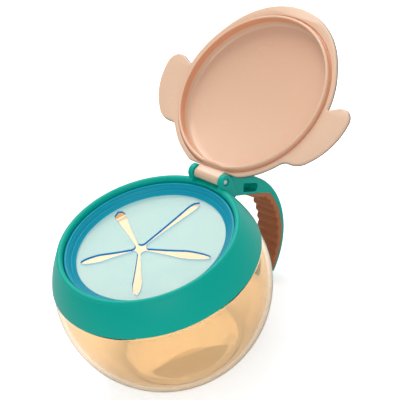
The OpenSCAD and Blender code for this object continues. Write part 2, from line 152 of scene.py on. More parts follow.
class Graph:
    """The node graph of one material or of the world."""

    def __init__(self, owner: "bpy.types.Material | bpy.types.World") -> None:
        """Empties the owner's graph."""
        self.owner = owner
        owner.use_nodes = True
        self.tree = owner.node_tree
        self.tree.nodes.clear()

    def add(
        self,
        kind: str,
        settings: dict[str, object] | None = None,
        inputs: dict[str | int, object] | None = None,
    ) -> bpy.types.Node:
        """Adds a node.

        Args:
            kind: The node's type.
            settings: Its properties, set first.
            inputs: Values, signals or sockets for its inputs, by name or number.

        Returns:
            The node.
        """
        node = self.tree.nodes.new(kind)
        for key, value in (settings or {}).items():
            setattr(node, key, value)
        for key, value in (inputs or {}).items():
            if isinstance(value, Signal):
                self.tree.links.new(value.socket, node.inputs[key])
            elif isinstance(value, bpy.types.NodeSocket):
                self.tree.links.new(value, node.inputs[key])
            else:
                node.inputs[key].default_value = value
        return node

    def signal(
        self,
        kind: str,
        output: str | int,
        settings: dict[str, object] | None = None,
        inputs: dict[str | int, object] | None = None,
    ) -> Signal:
        """Adds a node and wraps one output.

        Args:
            kind: The node's type.
            output: The output's name or number.
            settings: The node's properties.
            inputs: The node's inputs.

        Returns:
            The wrapped output.
        """
        return Signal(self, self.add(kind, settings, inputs).outputs[output])

    def place(self) -> bpy.types.NodeSocket:
        """Returns the position on the piece at rest, in metres."""
        return self.add("ShaderNodeTexCoord").outputs["Object"]

    def axis(self, index: int) -> Signal:
        """Returns one coordinate of the position on the piece at rest, in metres."""
        return self.signal("ShaderNodeSeparateXYZ", index, None, {0: self.place()})

    def noise(self, scale: float, detail: float = 2.0, stretch: Point3 = (1.0, 1.0, 1.0)) -> Signal:
        """Adds a noise in the piece's own space.

        Args:
            scale: Cells a metre.
            detail: The number of octaves.
            stretch: A factor on each axis.

        Returns:
            The noise, about 0.5 on average.
        """
        mapped = self.add("ShaderNodeMapping", None, {"Vector": self.place(), "Scale": stretch})
        inputs = {"Vector": mapped.outputs[0], "Scale": scale, "Detail": detail, "Roughness": 0.55}
        return self.signal("ShaderNodeTexNoise", 0, None, inputs)

    def facing(self, blend: float) -> Signal:
        """Returns how much the surface turns away from the view, for the tone of thick plastic."""
        return self.signal("ShaderNodeLayerWeight", "Facing", None, {"Blend": blend})

    def mixed(self, factor: Signal | float, first: object, second: object) -> bpy.types.NodeSocket:
        """Mixes two colours.

        Args:
            factor: The share of the second colour.
            first: A colour or a socket.
            second: A colour or a socket.

        Returns:
            The mixed colour's socket.
        """
        first, second = (
            value if isinstance(value, bpy.types.NodeSocket) else (*value, 1.0)
            for value in (first, second)
        )
        node = self.add("ShaderNodeMix", {"data_type": "RGBA"}, {0: factor, 6: first, 7: second})
        return node.outputs[2]

    def bump(self, height: Signal, strength: float, distance: float = 0.0002) -> bpy.types.NodeSocket:
        """Adds a bump.

        Args:
            height: The height, 0 to 1.
            strength: The bump's strength.
            distance: The height's size in metres.

        Returns:
            The bumped normal.
        """
        inputs = {"Height": height, "Strength": strength, "Distance": distance}
        return self.add("ShaderNodeBump", None, inputs).outputs[0]

    def seen(self) -> Signal:
        """Returns 1 for rays from the camera and for rays that came through clear plastic."""
        path = self.add("ShaderNodeLightPath")
        kinds = "Is Camera Ray", "Is Transmission Ray"
        camera, through = (Signal(self, path.outputs[kind]) for kind in kinds)
        return (camera + through).limited()

    def blended(self, factor: Signal, first: bpy.types.Node, second: bpy.types.Node) -> bpy.types.Node:
        """Returns a node that mixes two shaders."""
        return self.add("ShaderNodeMixShader", None, {0: factor, 1: first.outputs[0], 2: second.outputs[0]})

    def finish(self, shader: bpy.types.Node) -> "bpy.types.Material | bpy.types.World":
        """Joins a shader to the graph's output and returns the owner."""
        kind = "World" if isinstance(self.owner, bpy.types.World) else "Material"
        self.add(f"ShaderNodeOutput{kind}", None, {"Surface": shader.outputs[0]})
        return self.owner

    def surface(self, inputs: dict[str, object]) -> bpy.types.Material:
        """Ends the graph with one Principled shader.

        Args:
            inputs: The shader's inputs, by name.

        Returns:
            The material.
        """
        return self.finish(self.add("ShaderNodeBsdfPrincipled", None, inputs))


def tint(colour: Colour, factor: float) -> Colour:
    """Returns a colour made lighter or darker, at most 1 in each channel."""
    return tuple(min(1.0, channel * factor) for channel in colour)


def linear(red: int, green: int, blue: int) -> Colour:
    """Turns a display colour into the renderer's linear colour.

    Args:
        red: The red channel, 0 to 255.
        green: The green channel.
        blue: The blue channel.

    Returns:
        The linear colour.
    """
    return tuple(
        c / 12.92 if c <= 0.04045 else ((c + 0.055) / 1.055) ** 2.4
        for c in (red / 255, green / 255, blue / 255)
    )


# Finishes

RUBBER_DEPTH = (0.002, 0.003, 0.003)
CREAM_DEPTH = (0.004, 0.003, 0.002)
MOULDED_IOR = 1.49
RUBBER_IOR = 1.45
COAT_ROUGHNESS = 0.08


class Moulded(Graph):
    """A graph with the marks that every glossy moulded piece has."""

    def __init__(self, name: str) -> None:
        """Makes a new material of that name."""
        super().__init__(bpy.data.materials.new(name))

    def flow(self, cloud: Signal) -> Signal:
        """Returns the faint flow pattern of the melt, 0 to 1."""
        return (cloud * 0.6 + self.noise(60.0, 3.0, (1.0, 1.0, 0.25)) * 0.4).limited()

    def scratches(self) -> Signal:
        """Returns fine hair scratches, 0 to 1."""
        return ((self.noise(2200.0, 2.0, (0.08, 1.0, 1.0)) - 0.58) * 3.0).limited()

    def peel(self, strength: float) -> bpy.types.NodeSocket:
        """Returns a normal with a faint orange peel."""
        return self.bump(self.noise(520.0, 2.0) * 0.7 + self.noise(1900.0, 1.0) * 0.3, strength)


@dataclass(frozen=True)
class MouldedGloss:
    """Glossy moulded plastic with a faint flow pattern, orange peel and hair scratches."""

    name: str
    colour: Colour
    roughness: float
    coat: float
    variation: float
    peel: float = 0.05
    shine: float = 0.3

    def make(self) -> bpy.types.Material:
        """Returns the material."""
        g = Moulded(self.name)
        cloud = g.noise(28.0)
        darker, lighter = tint(self.colour, 1.0 - self.variation), tint(self.colour, 1.0 + self.variation)
        rough = self.roughness + (cloud - 0.5) * 0.10 + g.scratches() * 0.12
        return g.surface({
            "Base Color": g.mixed(g.flow(cloud), darker, lighter),
            "Roughness": rough.limited(0.05, 0.9),
            "Normal": g.peel(self.peel),
            "Coat Weight": self.coat,
            "Coat Roughness": COAT_ROUGHNESS,
            "IOR": MOULDED_IOR,
            "Specular IOR Level": self.shine,
        })


@dataclass(frozen=True)
class LidCream:
    """Glossy cream plastic with painted shade: warmer and darker on the dish's wall and in the groove beside
    its rim, and a painted shading gradient across the dish.
    """

    name: str
    colour: Colour
    shade_colour: Colour
    wall_r: float = 36.9
    rim_in: float = 37.9
    rim_out: float = 39.25
    groove_out: float = 40.2
    flange_depth: float = 1.2
    dish_shade_share: float = 0.15
    dish_shade_slope: float = 0.0035

    def make(self) -> bpy.types.Material:
        """Returns the material."""
        g = Moulded(self.name)
        cosine, sine = math.cos(LID_OPEN), math.sin(LID_OPEN)
        y, z = g.axis(1) / MM - AXIS_Y, g.axis(2) / MM - AXIS_Z
        shut_x, shut_y = g.axis(0) / MM, y * cosine - z * sine + AXIS_Y
        radius = (shut_x * shut_x + shut_y * shut_y) ** 0.5
        inside = (1 - y * sine - z * cosine - AXIS_Z + LID_Z + self.flange_depth).limited()
        # Painted shade: the dish's wall and the groove beside the rim are mixed toward the darker, warmer
        # shade colour.
        wall = ((radius - self.wall_r) * 2.2).limited() * ((self.rim_in - radius) * 4 + 1).limited()
        groove = ((radius - self.rim_out) * 4).limited() * ((self.groove_out - radius) * 3 + 0.6).limited()
        # Painted shade: a shading gradient across the dish, darker towards the thumb end and lighter towards
        # the hinge.
        dish = ((self.wall_r - radius) * 2).limited() * (self.dish_shade_share - shut_y * self.dish_shade_slope)
        cloud = g.noise(30.0)
        plain = g.mixed(g.flow(cloud), tint(self.colour, 0.97), tint(self.colour, 1.02))
        painted_shade = ((wall * 0.75 + groove * 0.8).limited() * inside + dish).limited()
        return g.surface({
            "Base Color": g.mixed(painted_shade, plain, self.shade_colour),
            "Roughness": (0.24 + (cloud - 0.5) * 0.08 + g.scratches() * 0.12).limited(0.05, 0.9),
            "Normal": g.peel(0.03),
            "Coat Weight": 0.25,
            "Coat Roughness": COAT_ROUGHNESS,
            "Subsurface Weight": 0.12,
            "Subsurface Radius": CREAM_DEPTH,
            "Subsurface Scale": 1.0,
            "IOR": MOULDED_IOR,
            "Specular IOR Level": 0.4,
        })


@dataclass(frozen=True)
class ClearTint:
    """Clear tinted plastic of the see-through bowl, deeper where it is seen edge on."""

    name: str
    colour: Colour
    rim: Colour
    roughness: float = 0.03

    def make(self) -> bpy.types.Material:
        """Returns the material."""
        g = Moulded(self.name)
        thick = (g.facing(0.3) ** 1.6 + (g.noise(22.0) - 0.5) * 0.12).limited()
        height = g.noise(90.0, 1.0) * 0.8 + g.noise(700.0, 1.0) * 0.2
        return g.surface({
            "Base Color": g.mixed(thick, self.colour, self.rim),
            "Roughness": (self.roughness + (g.noise(300.0) - 0.5) * 0.02).limited(0.0, 0.3),
            "Normal": g.bump(height, 0.03),
            "Transmission Weight": 1.0,
            "IOR": MOULDED_IOR,
        })


@dataclass(frozen=True)
class SoftRubber:
    """Soft moulded rubber with a fine grain, which may have a little painted glow, an emission in its own
    colour, at a cut edge.
    """

    name: str
    colour: Colour
    deep: Colour
    roughness: float
    glow: float
    grain: float
    sheen: float = 0.0
    shine: float = 0.3
    painted_edge_glow: float = 0.0

    def make(self) -> bpy.types.Material:
        """Returns the material."""
        g = Moulded(self.name)
        grain = g.noise(1500.0, 3.0)
        depth = (g.facing(0.35) * 0.5 + g.noise(45.0, 3.0) * 0.35 - 0.08).limited()
        colour = g.mixed(depth, self.colour, self.deep)
        return g.surface({
            "Base Color": colour,
            "Roughness": (self.roughness + (grain - 0.5) * 0.2).limited(0.1, 0.95),
            "Normal": g.bump(grain * 0.6 + g.noise(420.0) * 0.4, self.grain),
            "Subsurface Weight": self.glow,
            "Subsurface Radius": RUBBER_DEPTH,
            "Subsurface Scale": 1.0,
            "Sheen Weight": self.sheen,
            "Sheen Roughness": 0.4,
            "IOR": RUBBER_IOR,
            "Specular IOR Level": self.shine,
            # Painted glow: emission in the surface's own colour, used for the film's cut edges.
            "Emission Color": colour,
            "Emission Strength": self.painted_edge_glow,
        })


@dataclass(frozen=True)
class MilkyFilm:
    """Thin soft moulded film that lets a little of what is behind it through."""

    name: str
    colour: Colour
    deep: Colour
    cover: float
    roughness: float = 0.3

    def make(self) -> bpy.types.Material:
        """Returns the material."""
        g = Moulded(self.name)
        cloud = g.noise(55.0, 3.0)
        return g.surface({
            "Base Color": g.mixed(cloud, self.colour, self.deep),
            "Roughness": (self.roughness + (g.noise(900.0) - 0.5) * 0.15).limited(0.1, 0.9),
            "Normal": g.bump(g.noise(380.0, 3.0), 0.08),
            "Alpha": (self.cover + (cloud - 0.5) * 0.08).limited(),
            "Subsurface Weight": 0.3,
            "Subsurface Radius": RUBBER_DEPTH,
            "Subsurface Scale": 1.0,
            "IOR": RUBBER_IOR,
        })


@dataclass(frozen=True)
class DrawnSteel:
    """Drawn steel wire, with fine lines along it."""

    name: str
    colour: Colour

    def make(self) -> bpy.types.Material:
        """Returns the material."""
        g = Moulded(self.name)
        lines = g.noise(3000.0, 2.0, (0.03, 1.0, 1.0))
        return g.surface({
            "Base Color": g.mixed(lines, tint(self.colour, 0.9), self.colour),
            "Metallic": 1.0,
            "Roughness": (lines * 0.2 + 0.2).limited(),
            "Normal": g.bump(lines, 0.1, 0.0001),
        })


class Finish(Enum):
    """Every finish of the container."""

    TEAL = MouldedGloss("teal_gloss", linear(0, 174, 156), 0.38, 0.0, 0.04, shine=0.16)
    # The cream's second colour is the painted shade on the dish wall, in the groove and across the dish.
    CREAM = LidCream("cream_gloss", linear(236, 196, 166), linear(226, 150, 108))
    SKIN = MouldedGloss("brown_skin", linear(96, 62, 42), 0.45, 0.1, 0.08, peel=0.12)
    GRIP = SoftRubber("brown_rubber", linear(186, 116, 76), linear(146, 84, 52), 0.55, 0.05, 0.25, sheen=0.1)
    RING = SoftRubber("blue_rubber", linear(0, 160, 182), linear(0, 122, 160), 0.36, 0.15, 0.06, shine=0.25)
    FILM = MilkyFilm("aqua_film", linear(188, 230, 228), linear(172, 222, 222), 0.62)
    # The film edge's emission is a painted glow on the cut edges of the film.
    FILM_EDGE = SoftRubber(
        "film_edge", linear(0, 128, 190), linear(0, 104, 176), 0.5, 0.0, 0.04, shine=0.1, painted_edge_glow=0.35,
    )
    CLEAR = ClearTint("amber_clear", linear(246, 224, 190), linear(224, 174, 124))
    STEEL = DrawnSteel("pin_steel", (0.66, 0.66, 0.68))

    def material(self) -> bpy.types.Material:
        """Returns the finish's material, made the first time."""
        found = bpy.data.materials.get(self.value.name)
        return found if found is not None else self.value.make()


# Outlines and meshes


def arc(centre: Point2, radius: float, start: float, end: float, steps: int) -> list[Point2]:
    """Returns points along an arc.

    Args:
        centre: The arc's centre.
        radius: Its radius.
        start: The first angle, in degrees.
        end: The last angle.
        steps: The number of stretches.

    Returns:
        The points, both ends included.
    """
    angles = (math.radians(start + (end - start) * i / steps) for i in range(steps + 1))
    return [(centre[0] + radius * math.cos(a), centre[1] + radius * math.sin(a)) for a in angles]


def round_bar(radius: float) -> list[Point2]:
    """Returns a circle about the hinge axis, in Y and Z."""
    return arc((AXIS_Y, AXIS_Z), radius, 0, 352.5, 47)


def rounded(
    points: Sequence[Point2], radii: Sequence[float], steps: int = 6, closed: bool = True,
) -> list[Point2]:
    """Rounds the corners of an outline.

    Args:
        points: The corners.
        radii: A radius for each corner.
        steps: Stretches in each rounding.
        closed: Whether the last corner joins the first.

    Returns:
        The rounded outline.
    """
    out: list[Point2] = []
    count = len(points)
    for i, (corner, radius) in enumerate(zip(points, radii)):
        here = Vector(corner)
        to_last = Vector(points[i - 1]) - here
        to_next = Vector(points[(i + 1) % count]) - here
        half = to_last.angle(to_next) / 2
        open_end = not closed and i in (0, count - 1)
        if open_end or half > math.radians(89):
            out.append(corner)
            continue
        reach = min(radius / math.tan(half), 0.49 * to_last.length, 0.49 * to_next.length)
        size = reach * math.tan(half)
        ways = to_last.normalized(), to_next.normalized()
        centre = here + (ways[0] + ways[1]).normalized() * (size / math.sin(half))
        first, last = (here + way * reach - centre for way in ways)
        for k in range(steps + 1):
            turned = first.slerp(last, k / steps) if first.angle(last) > 1e-4 else first
            out.append(tuple(centre + turned.normalized() * size))
    return out


def d_outline(radius: float, back: float, corner: float, turns: int = 120) -> list[Point2]:
    """Returns a circle about Z cut straight at the back, with rounded corners, anticlockwise.

    Args:
        radius: The circle's radius.
        back: Where the straight side lies, along Y.
        corner: The corners' radius.
        turns: Stretches in the round part.

    Returns:
        The outline, from the right end of the round part.
    """
    side = math.sqrt(max((radius - corner) ** 2 - (back - corner) ** 2, 0.01))
    meet = math.degrees(math.atan2(back - corner, side))
    right = arc((side, back - corner), corner, meet, 90, 6)
    line = [(side - 2 * side * i / 10, back) for i in range(1, 10)]
    left = arc((-side, back - corner), corner, 90, 180 - meet, 6)
    round_part = arc((0, 0), radius, 180 - meet, 360 + meet, turns)[1:-1]
    return right + line + left + round_part


def inset(outline: Sequence[Point2], depth: float) -> list[Point2]:
    """Moves an anticlockwise outline inwards along its normals.

    Args:
        outline: The outline.
        depth: How far it moves; a negative depth grows it.

    Returns:
        The moved outline.
    """
    out = []
    count = len(outline)
    for i in range(count):
        before, here, after = (Vector(outline[(i + k) % count]) for k in (-1, 0, 1))
        sides = here - before, after - here
        normals = [Vector((-v.y, v.x)).normalized() for v in sides if v.length > 1e-9]
        if not normals:
            out.append(tuple(here))
            continue
        total = sum(normals, Vector((0.0, 0.0)))
        total = total.normalized() if total.length > 1e-6 else normals[0]
        stretch = 1 / max(0.5, total.dot(normals[0]))
        out.append(tuple(here + total * depth * stretch))
    return out


def linked(name: str, mesh: bpy.types.Mesh, crease: float) -> bpy.types.Object:
    """Makes an object of a mesh, shaded smooth between its sharp edges.

    Args:
        name: The object's name.
        mesh: Its mesh.
        crease: Edges that bend more than this, in degrees, stay sharp.

    Returns:
        The object, in the scene.
    """
    piece = bpy.data.objects.new(name, mesh)
    bpy.context.scene.collection.objects.link(piece)
    return smooth(piece, crease)


def smooth(piece: bpy.types.Object, crease: float) -> bpy.types.Object:
    """Shades a piece smooth except at edges sharper than a number of degrees, and returns it."""
    mesh = piece.data
    mesh.polygons.foreach_set("use_smooth", [True] * len(mesh.polygons))
    mesh.set_sharp_from_angle(angle=math.radians(crease))
    return piece


def mesh_piece(
    name: str, points: Iterable[Point3], faces: Iterable[Sequence[int]], crease: float = 38.0,
) -> bpy.types.Object:
    """Makes an object from points in millimetres.

    Args:
        name: The object's name.
        points: The corners.
        faces: The faces, as corner numbers.
        crease: Edges that bend more than this, in degrees, stay sharp.

    Returns:
        The object, with its normals outwards.
    """
    mesh = bpy.data.meshes.new(name)
    mesh.from_pydata([tuple(c * MM for c in p) for p in points], [], [tuple(f) for f in faces])
    bm = bmesh.new()
    bm.from_mesh(mesh)
    bmesh.ops.remove_doubles(bm, verts=bm.verts, dist=1e-7)
    bmesh.ops.recalc_face_normals(bm, faces=bm.faces)
    bm.to_mesh(mesh)
    bm.free()
    return linked(name, mesh, crease)


class Skin:
    """Collects rings of points and the faces between them."""

    def __init__(self) -> None:
        """Starts empty."""
        self.points: list[Point3] = []
        self.faces: list[tuple[int, ...]] = []

    def ring(self, points: Sequence[Point3]) -> list[int]:
        """Adds points and returns their numbers."""
        first = len(self.points)
        self.points.extend(tuple(p) for p in points)
        return list(range(first, len(self.points)))

    def band(self, one: Sequence[int], two: Sequence[int], closed: bool = True) -> None:
        """Joins two rings of the same length with quads.

        Args:
            one: The first ring's numbers.
            two: The second ring's numbers.
            closed: Whether the rings are closed.
        """
        count = len(one)
        for i in range(count if closed else count - 1):
            j = (i + 1) % count
            self.faces.append((one[i], one[j], two[j], two[i]))

    def stack(self, rings: Sequence[Sequence[Point3]], loop: bool = False) -> list[list[int]]:
        """Adds closed rings and joins each to the next.

        Args:
            rings: The rings, of one length.
            loop: Whether the last ring joins the first.

        Returns:
            The rings' numbers.
        """
        ids = [self.ring(r) for r in rings]
        for one, two in zip(ids, ids[1:]):
            self.band(one, two)
        if loop:
            self.band(ids[-1], ids[0])
        return ids

    def cap(self, ring: Sequence[int]) -> None:
        """Closes a ring with one face."""
        self.faces.append(tuple(ring))

    def close(self, ids: Sequence[Sequence[int]]) -> None:
        """Closes the first and the last ring of a stack."""
        self.cap(list(reversed(ids[0])))
        self.cap(ids[-1])

    def plate(self, outer: Sequence[int], inner: Sequence[int]) -> None:
        """Fills the flat space between two rings.

        Args:
            outer: The outer ring's numbers.
            inner: The inner ring's numbers.
        """
        loops = [[Vector((*self.points[i][:2], 0)) for i in ring] for ring in (outer, inner)]
        numbers = list(outer) + list(inner)
        for triangle in tessellate_polygon(loops):
            self.faces.append(tuple(numbers[i] for i in triangle))

    def piece(self, name: str, crease: float = 38.0) -> bpy.types.Object:
        """Returns the object made of all rings."""
        return mesh_piece(name, self.points, self.faces, crease)


def revolve(name: str, profile: Sequence[Point2], crease: float, turns: int = 224) -> bpy.types.Object:
    """Turns a closed profile about Z.

    Args:
        name: The object's name.
        profile: Radius and height of each point; points at radius 0 lie on the axis.
        crease: Edges that bend more than this stay sharp.
        turns: Stretches round the axis.

    Returns:
        The object.
    """
    skin = Skin()
    angles = [2 * math.pi * i / turns for i in range(turns)]
    skin.stack([[(r * math.cos(a), r * math.sin(a), z) for a in angles] for r, z in profile], loop=True)
    return skin.piece(name, crease)


def prism(
    name: str, outline: Sequence[Point2], span: Point2, edge: float, place: Placing, steps: int = 3,
) -> bpy.types.Object:
    """Makes a plate with rounded edges from an anticlockwise outline.

    Args:
        name: The object's name.
        outline: The outline.
        span: The plate's lower and upper side.
        edge: The edges' rounding radius.
        place: Turns outline coordinates and height into a point.
        steps: Stretches in each rounded edge.

    Returns:
        The object.
    """
    skin = Skin()
    low, high = span
    turns = (math.pi / 2 * i / steps for i in range(steps + 1))
    levels = [(edge * (1 - math.sin(t)), low + edge * (1 - math.cos(t))) for t in turns]
    levels += [(depth, high - (z - low)) for depth, z in reversed(levels)]
    skin.close(skin.stack([[place(x, y, z) for x, y in inset(outline, depth)] for depth, z in levels]))
    return skin.piece(name)


def across(y: float, z: float, height: float) -> Point3:
    """Places an outline drawn in Y and Z, with its height along X."""
    return (height, y, z)


def mirrored(y: float, z: float, height: float) -> Point3:
    """Places an outline drawn in Y and Z, with its height against X."""
    return (-height, y, z)


def cutter(name: str, outline: Sequence[Point2], span: Point2) -> bpy.types.Object:
    """Makes a sharp-edged cutting tool that runs along X.

    Args:
        name: The tool's name.
        outline: Its outline in Y and Z.
        span: Where it starts and ends along X.

    Returns:
        The tool.
    """
    return prism(name, outline, span, 0.01, across, 1)


def boolean(piece: bpy.types.Object, tool: bpy.types.Object, how: str = "DIFFERENCE") -> bpy.types.Object:
    """Joins or cuts one piece with another, and removes the other.

    Args:
        piece: The piece that is kept.
        tool: The other solid.
        how: UNION or DIFFERENCE.

    Returns:
        The kept piece.
    """
    step = piece.modifiers.new("cut", "BOOLEAN")
    step.operation, step.object, step.solver = how, tool, "EXACT"
    graph = bpy.context.evaluated_depsgraph_get()
    graph.update()
    mesh = bpy.data.meshes.new_from_object(piece.evaluated_get(graph))
    piece.modifiers.clear()
    piece.data = mesh
    bpy.data.objects.remove(tool)
    return piece


def dress(piece: bpy.types.Object, node: str, body: str, slot: str, *finishes: Finish) -> None:
    """Gives a piece its finishes and its body, and hides the node that it stands for.

    Args:
        piece: The piece.
        node: The node of the row that it replaces.
        body: The body that it rides on, or nothing for a piece that is left without a body.
        slot: The record's material slot; not used.
        finishes: The finishes, in the order of the mesh's material numbers.
    """
    if piece.data.materials:
        piece.data.materials.clear()
    for finish in finishes:
        piece.data.materials.append(finish.material())
    if body:
        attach(piece, body)
    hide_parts(node)
    LOG.info("%s: %d faces", piece.name, len(piece.data.polygons))


def climb(radius: float, z: float) -> float:
    """Returns the angle, in degrees, at which a circle about the ball's middle reaches a height."""
    return math.degrees(math.asin((z - BALL_Z) / radius))


# Sub-assemblies


@dataclass
class Bowl:
    """The clear ball with its flat underside and threaded neck."""

    wall: float = 2.2
    floor: float = 3.0
    shoulder_r: float = 48.36
    neck_r: float = 42.2
    neck_in: float = 40.0
    threads: int = 3
    thread_h: float = 0.85
    thread_z: float = 57.6
    thread_lead: float = 18.0
    thread_start: float = 40.0
    thread_span: float = 82.0

    def profile(self) -> list[Point2]:
        """Returns the turned profile, from the middle of the underside outwards and back inside."""
        inner, top_in, floor = BALL_R - self.wall, SHOULDER_Z - self.wall, self.floor
        foot = [(0.0, 0.0), (12.0, 0.0), (21.0, 0.0), (24.4, 0.0), (25.6, 0.0), (26.5, 0.16), (27.2, 0.45)]
        outer = arc((0, BALL_Z), BALL_R, climb(BALL_R, 0.9), climb(BALL_R, SHOULDER_Z - 0.16), 60)
        shoulder = [(r, SHOULDER_Z) for r in (self.shoulder_r, 46.5, self.neck_r + 1.0)]
        shoulder += [(self.neck_r + 0.25, SHOULDER_Z + 0.12), (self.neck_r, SHOULDER_Z + 0.5)]
        rim_r = (self.neck_r - self.neck_in) / 2
        rim = arc((self.neck_r - rim_r, NECK_TOP - rim_r), rim_r, 0, 180, 10)
        neck = [(self.neck_in + out, top_in + up) for out, up in ((0.0, 0.8), (0.2, 0.25), (0.8, 0.0))]
        inside = arc((0, BALL_Z), inner, climb(inner, top_in), climb(inner, floor + 3.2), 56)
        edge = inside[-1][0]
        bottom = [(edge - less, floor + up) for less, up in ((2.2, 1.2), (5.5, 0.25), (9.0, 0.0))]
        return foot + outer + shoulder + rim + neck + inside + bottom + [(8.0, floor), (0.0, floor)]

    def ridge(self, number: int) -> bpy.types.Object:
        """Makes one helical thread ridge on the neck.

        Args:
            number: The ridge's number, from 0.

        Returns:
            The ridge, faded out at both ends.
        """
        skin = Skin()
        rings = []
        start, steps, root = self.thread_start + 360 / self.threads * number, 44, self.neck_r - 0.25
        for i in range(steps + 1):
            t = i / steps
            turn = math.radians(start + self.thread_span * t)
            middle = self.thread_z + self.thread_lead * self.thread_span * t / 360
            height = self.thread_h * max(0.05, min(1.0, t * 7, (1 - t) * 7) ** 0.5)
            foot, crest = self.neck_r + 0.25 * height, self.neck_r + height
            side = [(root, 1.15), (foot, 0.85), (crest, 0.35)]
            shape = [(r, -up) for r, up in side] + side[::-1]
            rings.append([(r * math.cos(turn), r * math.sin(turn), middle + up) for r, up in shape])
        skin.close(skin.stack(rings))
        return skin.piece(f"neck_ridge_{number + 1}", 50)

    def build(self) -> None:
        """Builds and dresses the bowl."""
        shell = revolve("bowl_shell", self.profile(), 40)
        for number in range(self.threads):
            shell = boolean(shell, self.ridge(number), "UNION")
        dress(smooth(shell, 40), "bowl", "bowl", "bowl_clear", Finish.CLEAR)


@dataclass
class Collar:
    """The screw-on collar with its two hinge ears and its handle, all one moulding."""

    radius: float = 50.6
    low: float = SHOULDER_Z + 0.09
    bore: float = 43.6
    skirt: float = 45.3
    ear_in: float = 7.8
    ear_t: float = 2.7
    ear_r: float = 3.5
    pin_seat: float = 1.9
    pin_half: float = 9.8
    scoop_r: float = 2.95
    bow: Point2 = (39.4, 32.48)
    bow_r: float = 35.2
    inner: Point2 = (39.0, 30.88)
    inner_r: float = 33.0
    under: float = 26.3
    root_dir: float = 56.5
    corner: float = 12.6
    corner_dir: float = 21.0
    width: float = 13.4
    end: float = 60.0
    bead: float = 1.4
    pocket: Point2 = (10.4, 4.2)

    def ring_profile(self) -> list[Point2]:
        """Returns the ring's turned profile."""
        bore, skirt, low = self.bore, self.skirt, self.low
        ends = climb(self.radius, low + 0.2), climb(self.radius, LIP_Z + 0.05)
        outer = arc((0, BALL_Z), self.radius, *ends, 26)
        lip = arc((MOUTH_R + LIP_R, LIP_Z), LIP_R, 12, 180, 18)
        inside = [(MOUTH_R, LIP_Z - 0.6), (MOUTH_R, LEDGE_Z + 0.25), (MOUTH_R + 0.25, LEDGE_Z)]
        inside += [(bore - 0.4, LEDGE_Z), (bore, LEDGE_Z - 0.4)]
        inside += [(bore, COLLAR_LOW + 0.4), (bore + 0.4, COLLAR_LOW)]
        hollow = [(skirt - 0.3, COLLAR_LOW), (skirt, COLLAR_LOW + 0.3), (skirt, 59.6)]
        hollow += [(skirt + 0.3, 60.1), (skirt + 0.8, 60.0), (46.9, 57.0)]
        return outer + lip + inside + hollow + [(47.15, low + 0.3), (47.45, low), (48.9, low)]

    def ear_outline(self) -> list[Point2]:
        """Returns an ear's side view, anticlockwise, in Y and Z."""
        r, foot = self.ear_r, AXIS_Z - 11
        corners = [(-r, 4), (0, 0), (r - 0.3, 0), (r + 0.6, 2.5), (r + 0.1, 6)]
        placed = [(AXIS_Y + y, foot + z) for y, z in corners]
        base = rounded(placed, [0.5, 0.5, 0.5, 2.0, 2.0], 4, closed=False)
        return arc((AXIS_Y, AXIS_Z), r, 0, 180, 22) + base

    def root(self, along: float) -> Point2:
        """Returns a point of the handle's straight underside, at a distance along it."""
        cosine, sine = math.cos(math.radians(self.root_dir)), math.sin(math.radians(self.root_dir))
        y, z = self.bow
        return (y + cosine * self.under + sine * along, z + sine * self.under - cosine * along)

    def on_bow(self, angle: float, radius: float) -> Point2:
        """Returns the point at an angle, in degrees, of a circle about the bow's middle."""
        a = math.radians(angle)
        return (self.bow[0] + radius * math.cos(a), self.bow[1] + radius * math.sin(a))

    def inner_at(self, angle: float, less: float = 0.0) -> Point2:
        """Returns where a ray from the bow's middle meets the spine's inner curve.

        Args:
            angle: The ray's angle, in degrees.
            less: How far inside the inner curve.

        Returns:
            The point.
        """
        a = math.radians(angle)
        way, off = Vector((math.cos(a), math.sin(a))), Vector(self.bow) - Vector(self.inner)
        depth = off.dot(way) ** 2 - off.length_squared + (self.inner_r - less) ** 2
        return self.on_bow(angle, math.sqrt(depth) - off.dot(way))

    def stations(self) -> list[tuple[Point2, Point2]]:
        """Returns pairs of outer and inner points along the handle, from the collar to its free end."""
        tops = [
            (43.5, 69.3), (45.6, 69.9), (47.3, 69.72), (48.6, 69.27), (50.4, 68.65),
            (51.3, 68.3), (52.6, 67.0), (54.0, 65.5), (55.6, 63.9),
        ]
        lows = (-12.2, -10.4, -8.6, -6.6, -4.4, -2.6, -0.8, 1.0, 2.8)
        pairs = [(top, self.root(along)) for top, along in zip(tops, lows)]
        start = math.degrees(math.atan2(tops[-1][1] - self.bow[1], tops[-1][0] - self.bow[0])) - 1.5
        for t in (i / 8 for i in range(1, 9)):
            outer = self.on_bow(start - (start - self.corner_dir) * t, self.bow_r)
            pairs.append((outer, self.root(lows[-1] + (self.corner - lows[-1]) * t)))
        for t in (i / 52 for i in range(1, 53)):
            angle = self.corner_dir - (self.corner_dir + self.end - 2.2) * t
            pairs.append((self.on_bow(angle, self.bow_r), self.inner_at(angle)))
        return pairs

    @staticmethod
    def section(
        outer: Point2, inner: Point2, width: float, edge_out: float, edge_in: float, steps: int = 5,
    ) -> list[Point3]:
        """Returns one closed cross-section of the handle.

        Args:
            outer: The outer point in Y and Z.
            inner: The inner point.
            width: The width along X.
            edge_out: The outer edges' rounding radius.
            edge_in: The inner edges' rounding radius.
            steps: Stretches in each rounding.

        Returns:
            The points.
        """
        foot = Vector(inner)
        thick = (Vector(outer) - foot).length
        way = (Vector(outer) - foot) / thick
        ro, ri, half = min(edge_out, thick * 0.55), min(edge_in, thick * 0.4), width / 2
        flat = arc((half - ri, ri), ri, -90, 0, steps) + arc((half - ro, thick - ro), ro, 0, 90, steps)
        flat += arc((ro - half, thick - ro), ro, 90, 180, steps) + arc((ri - half, ri), ri, 180, 270, steps)
        return [(x, foot.x + way.x * t, foot.y + way.y * t) for x, t in flat]

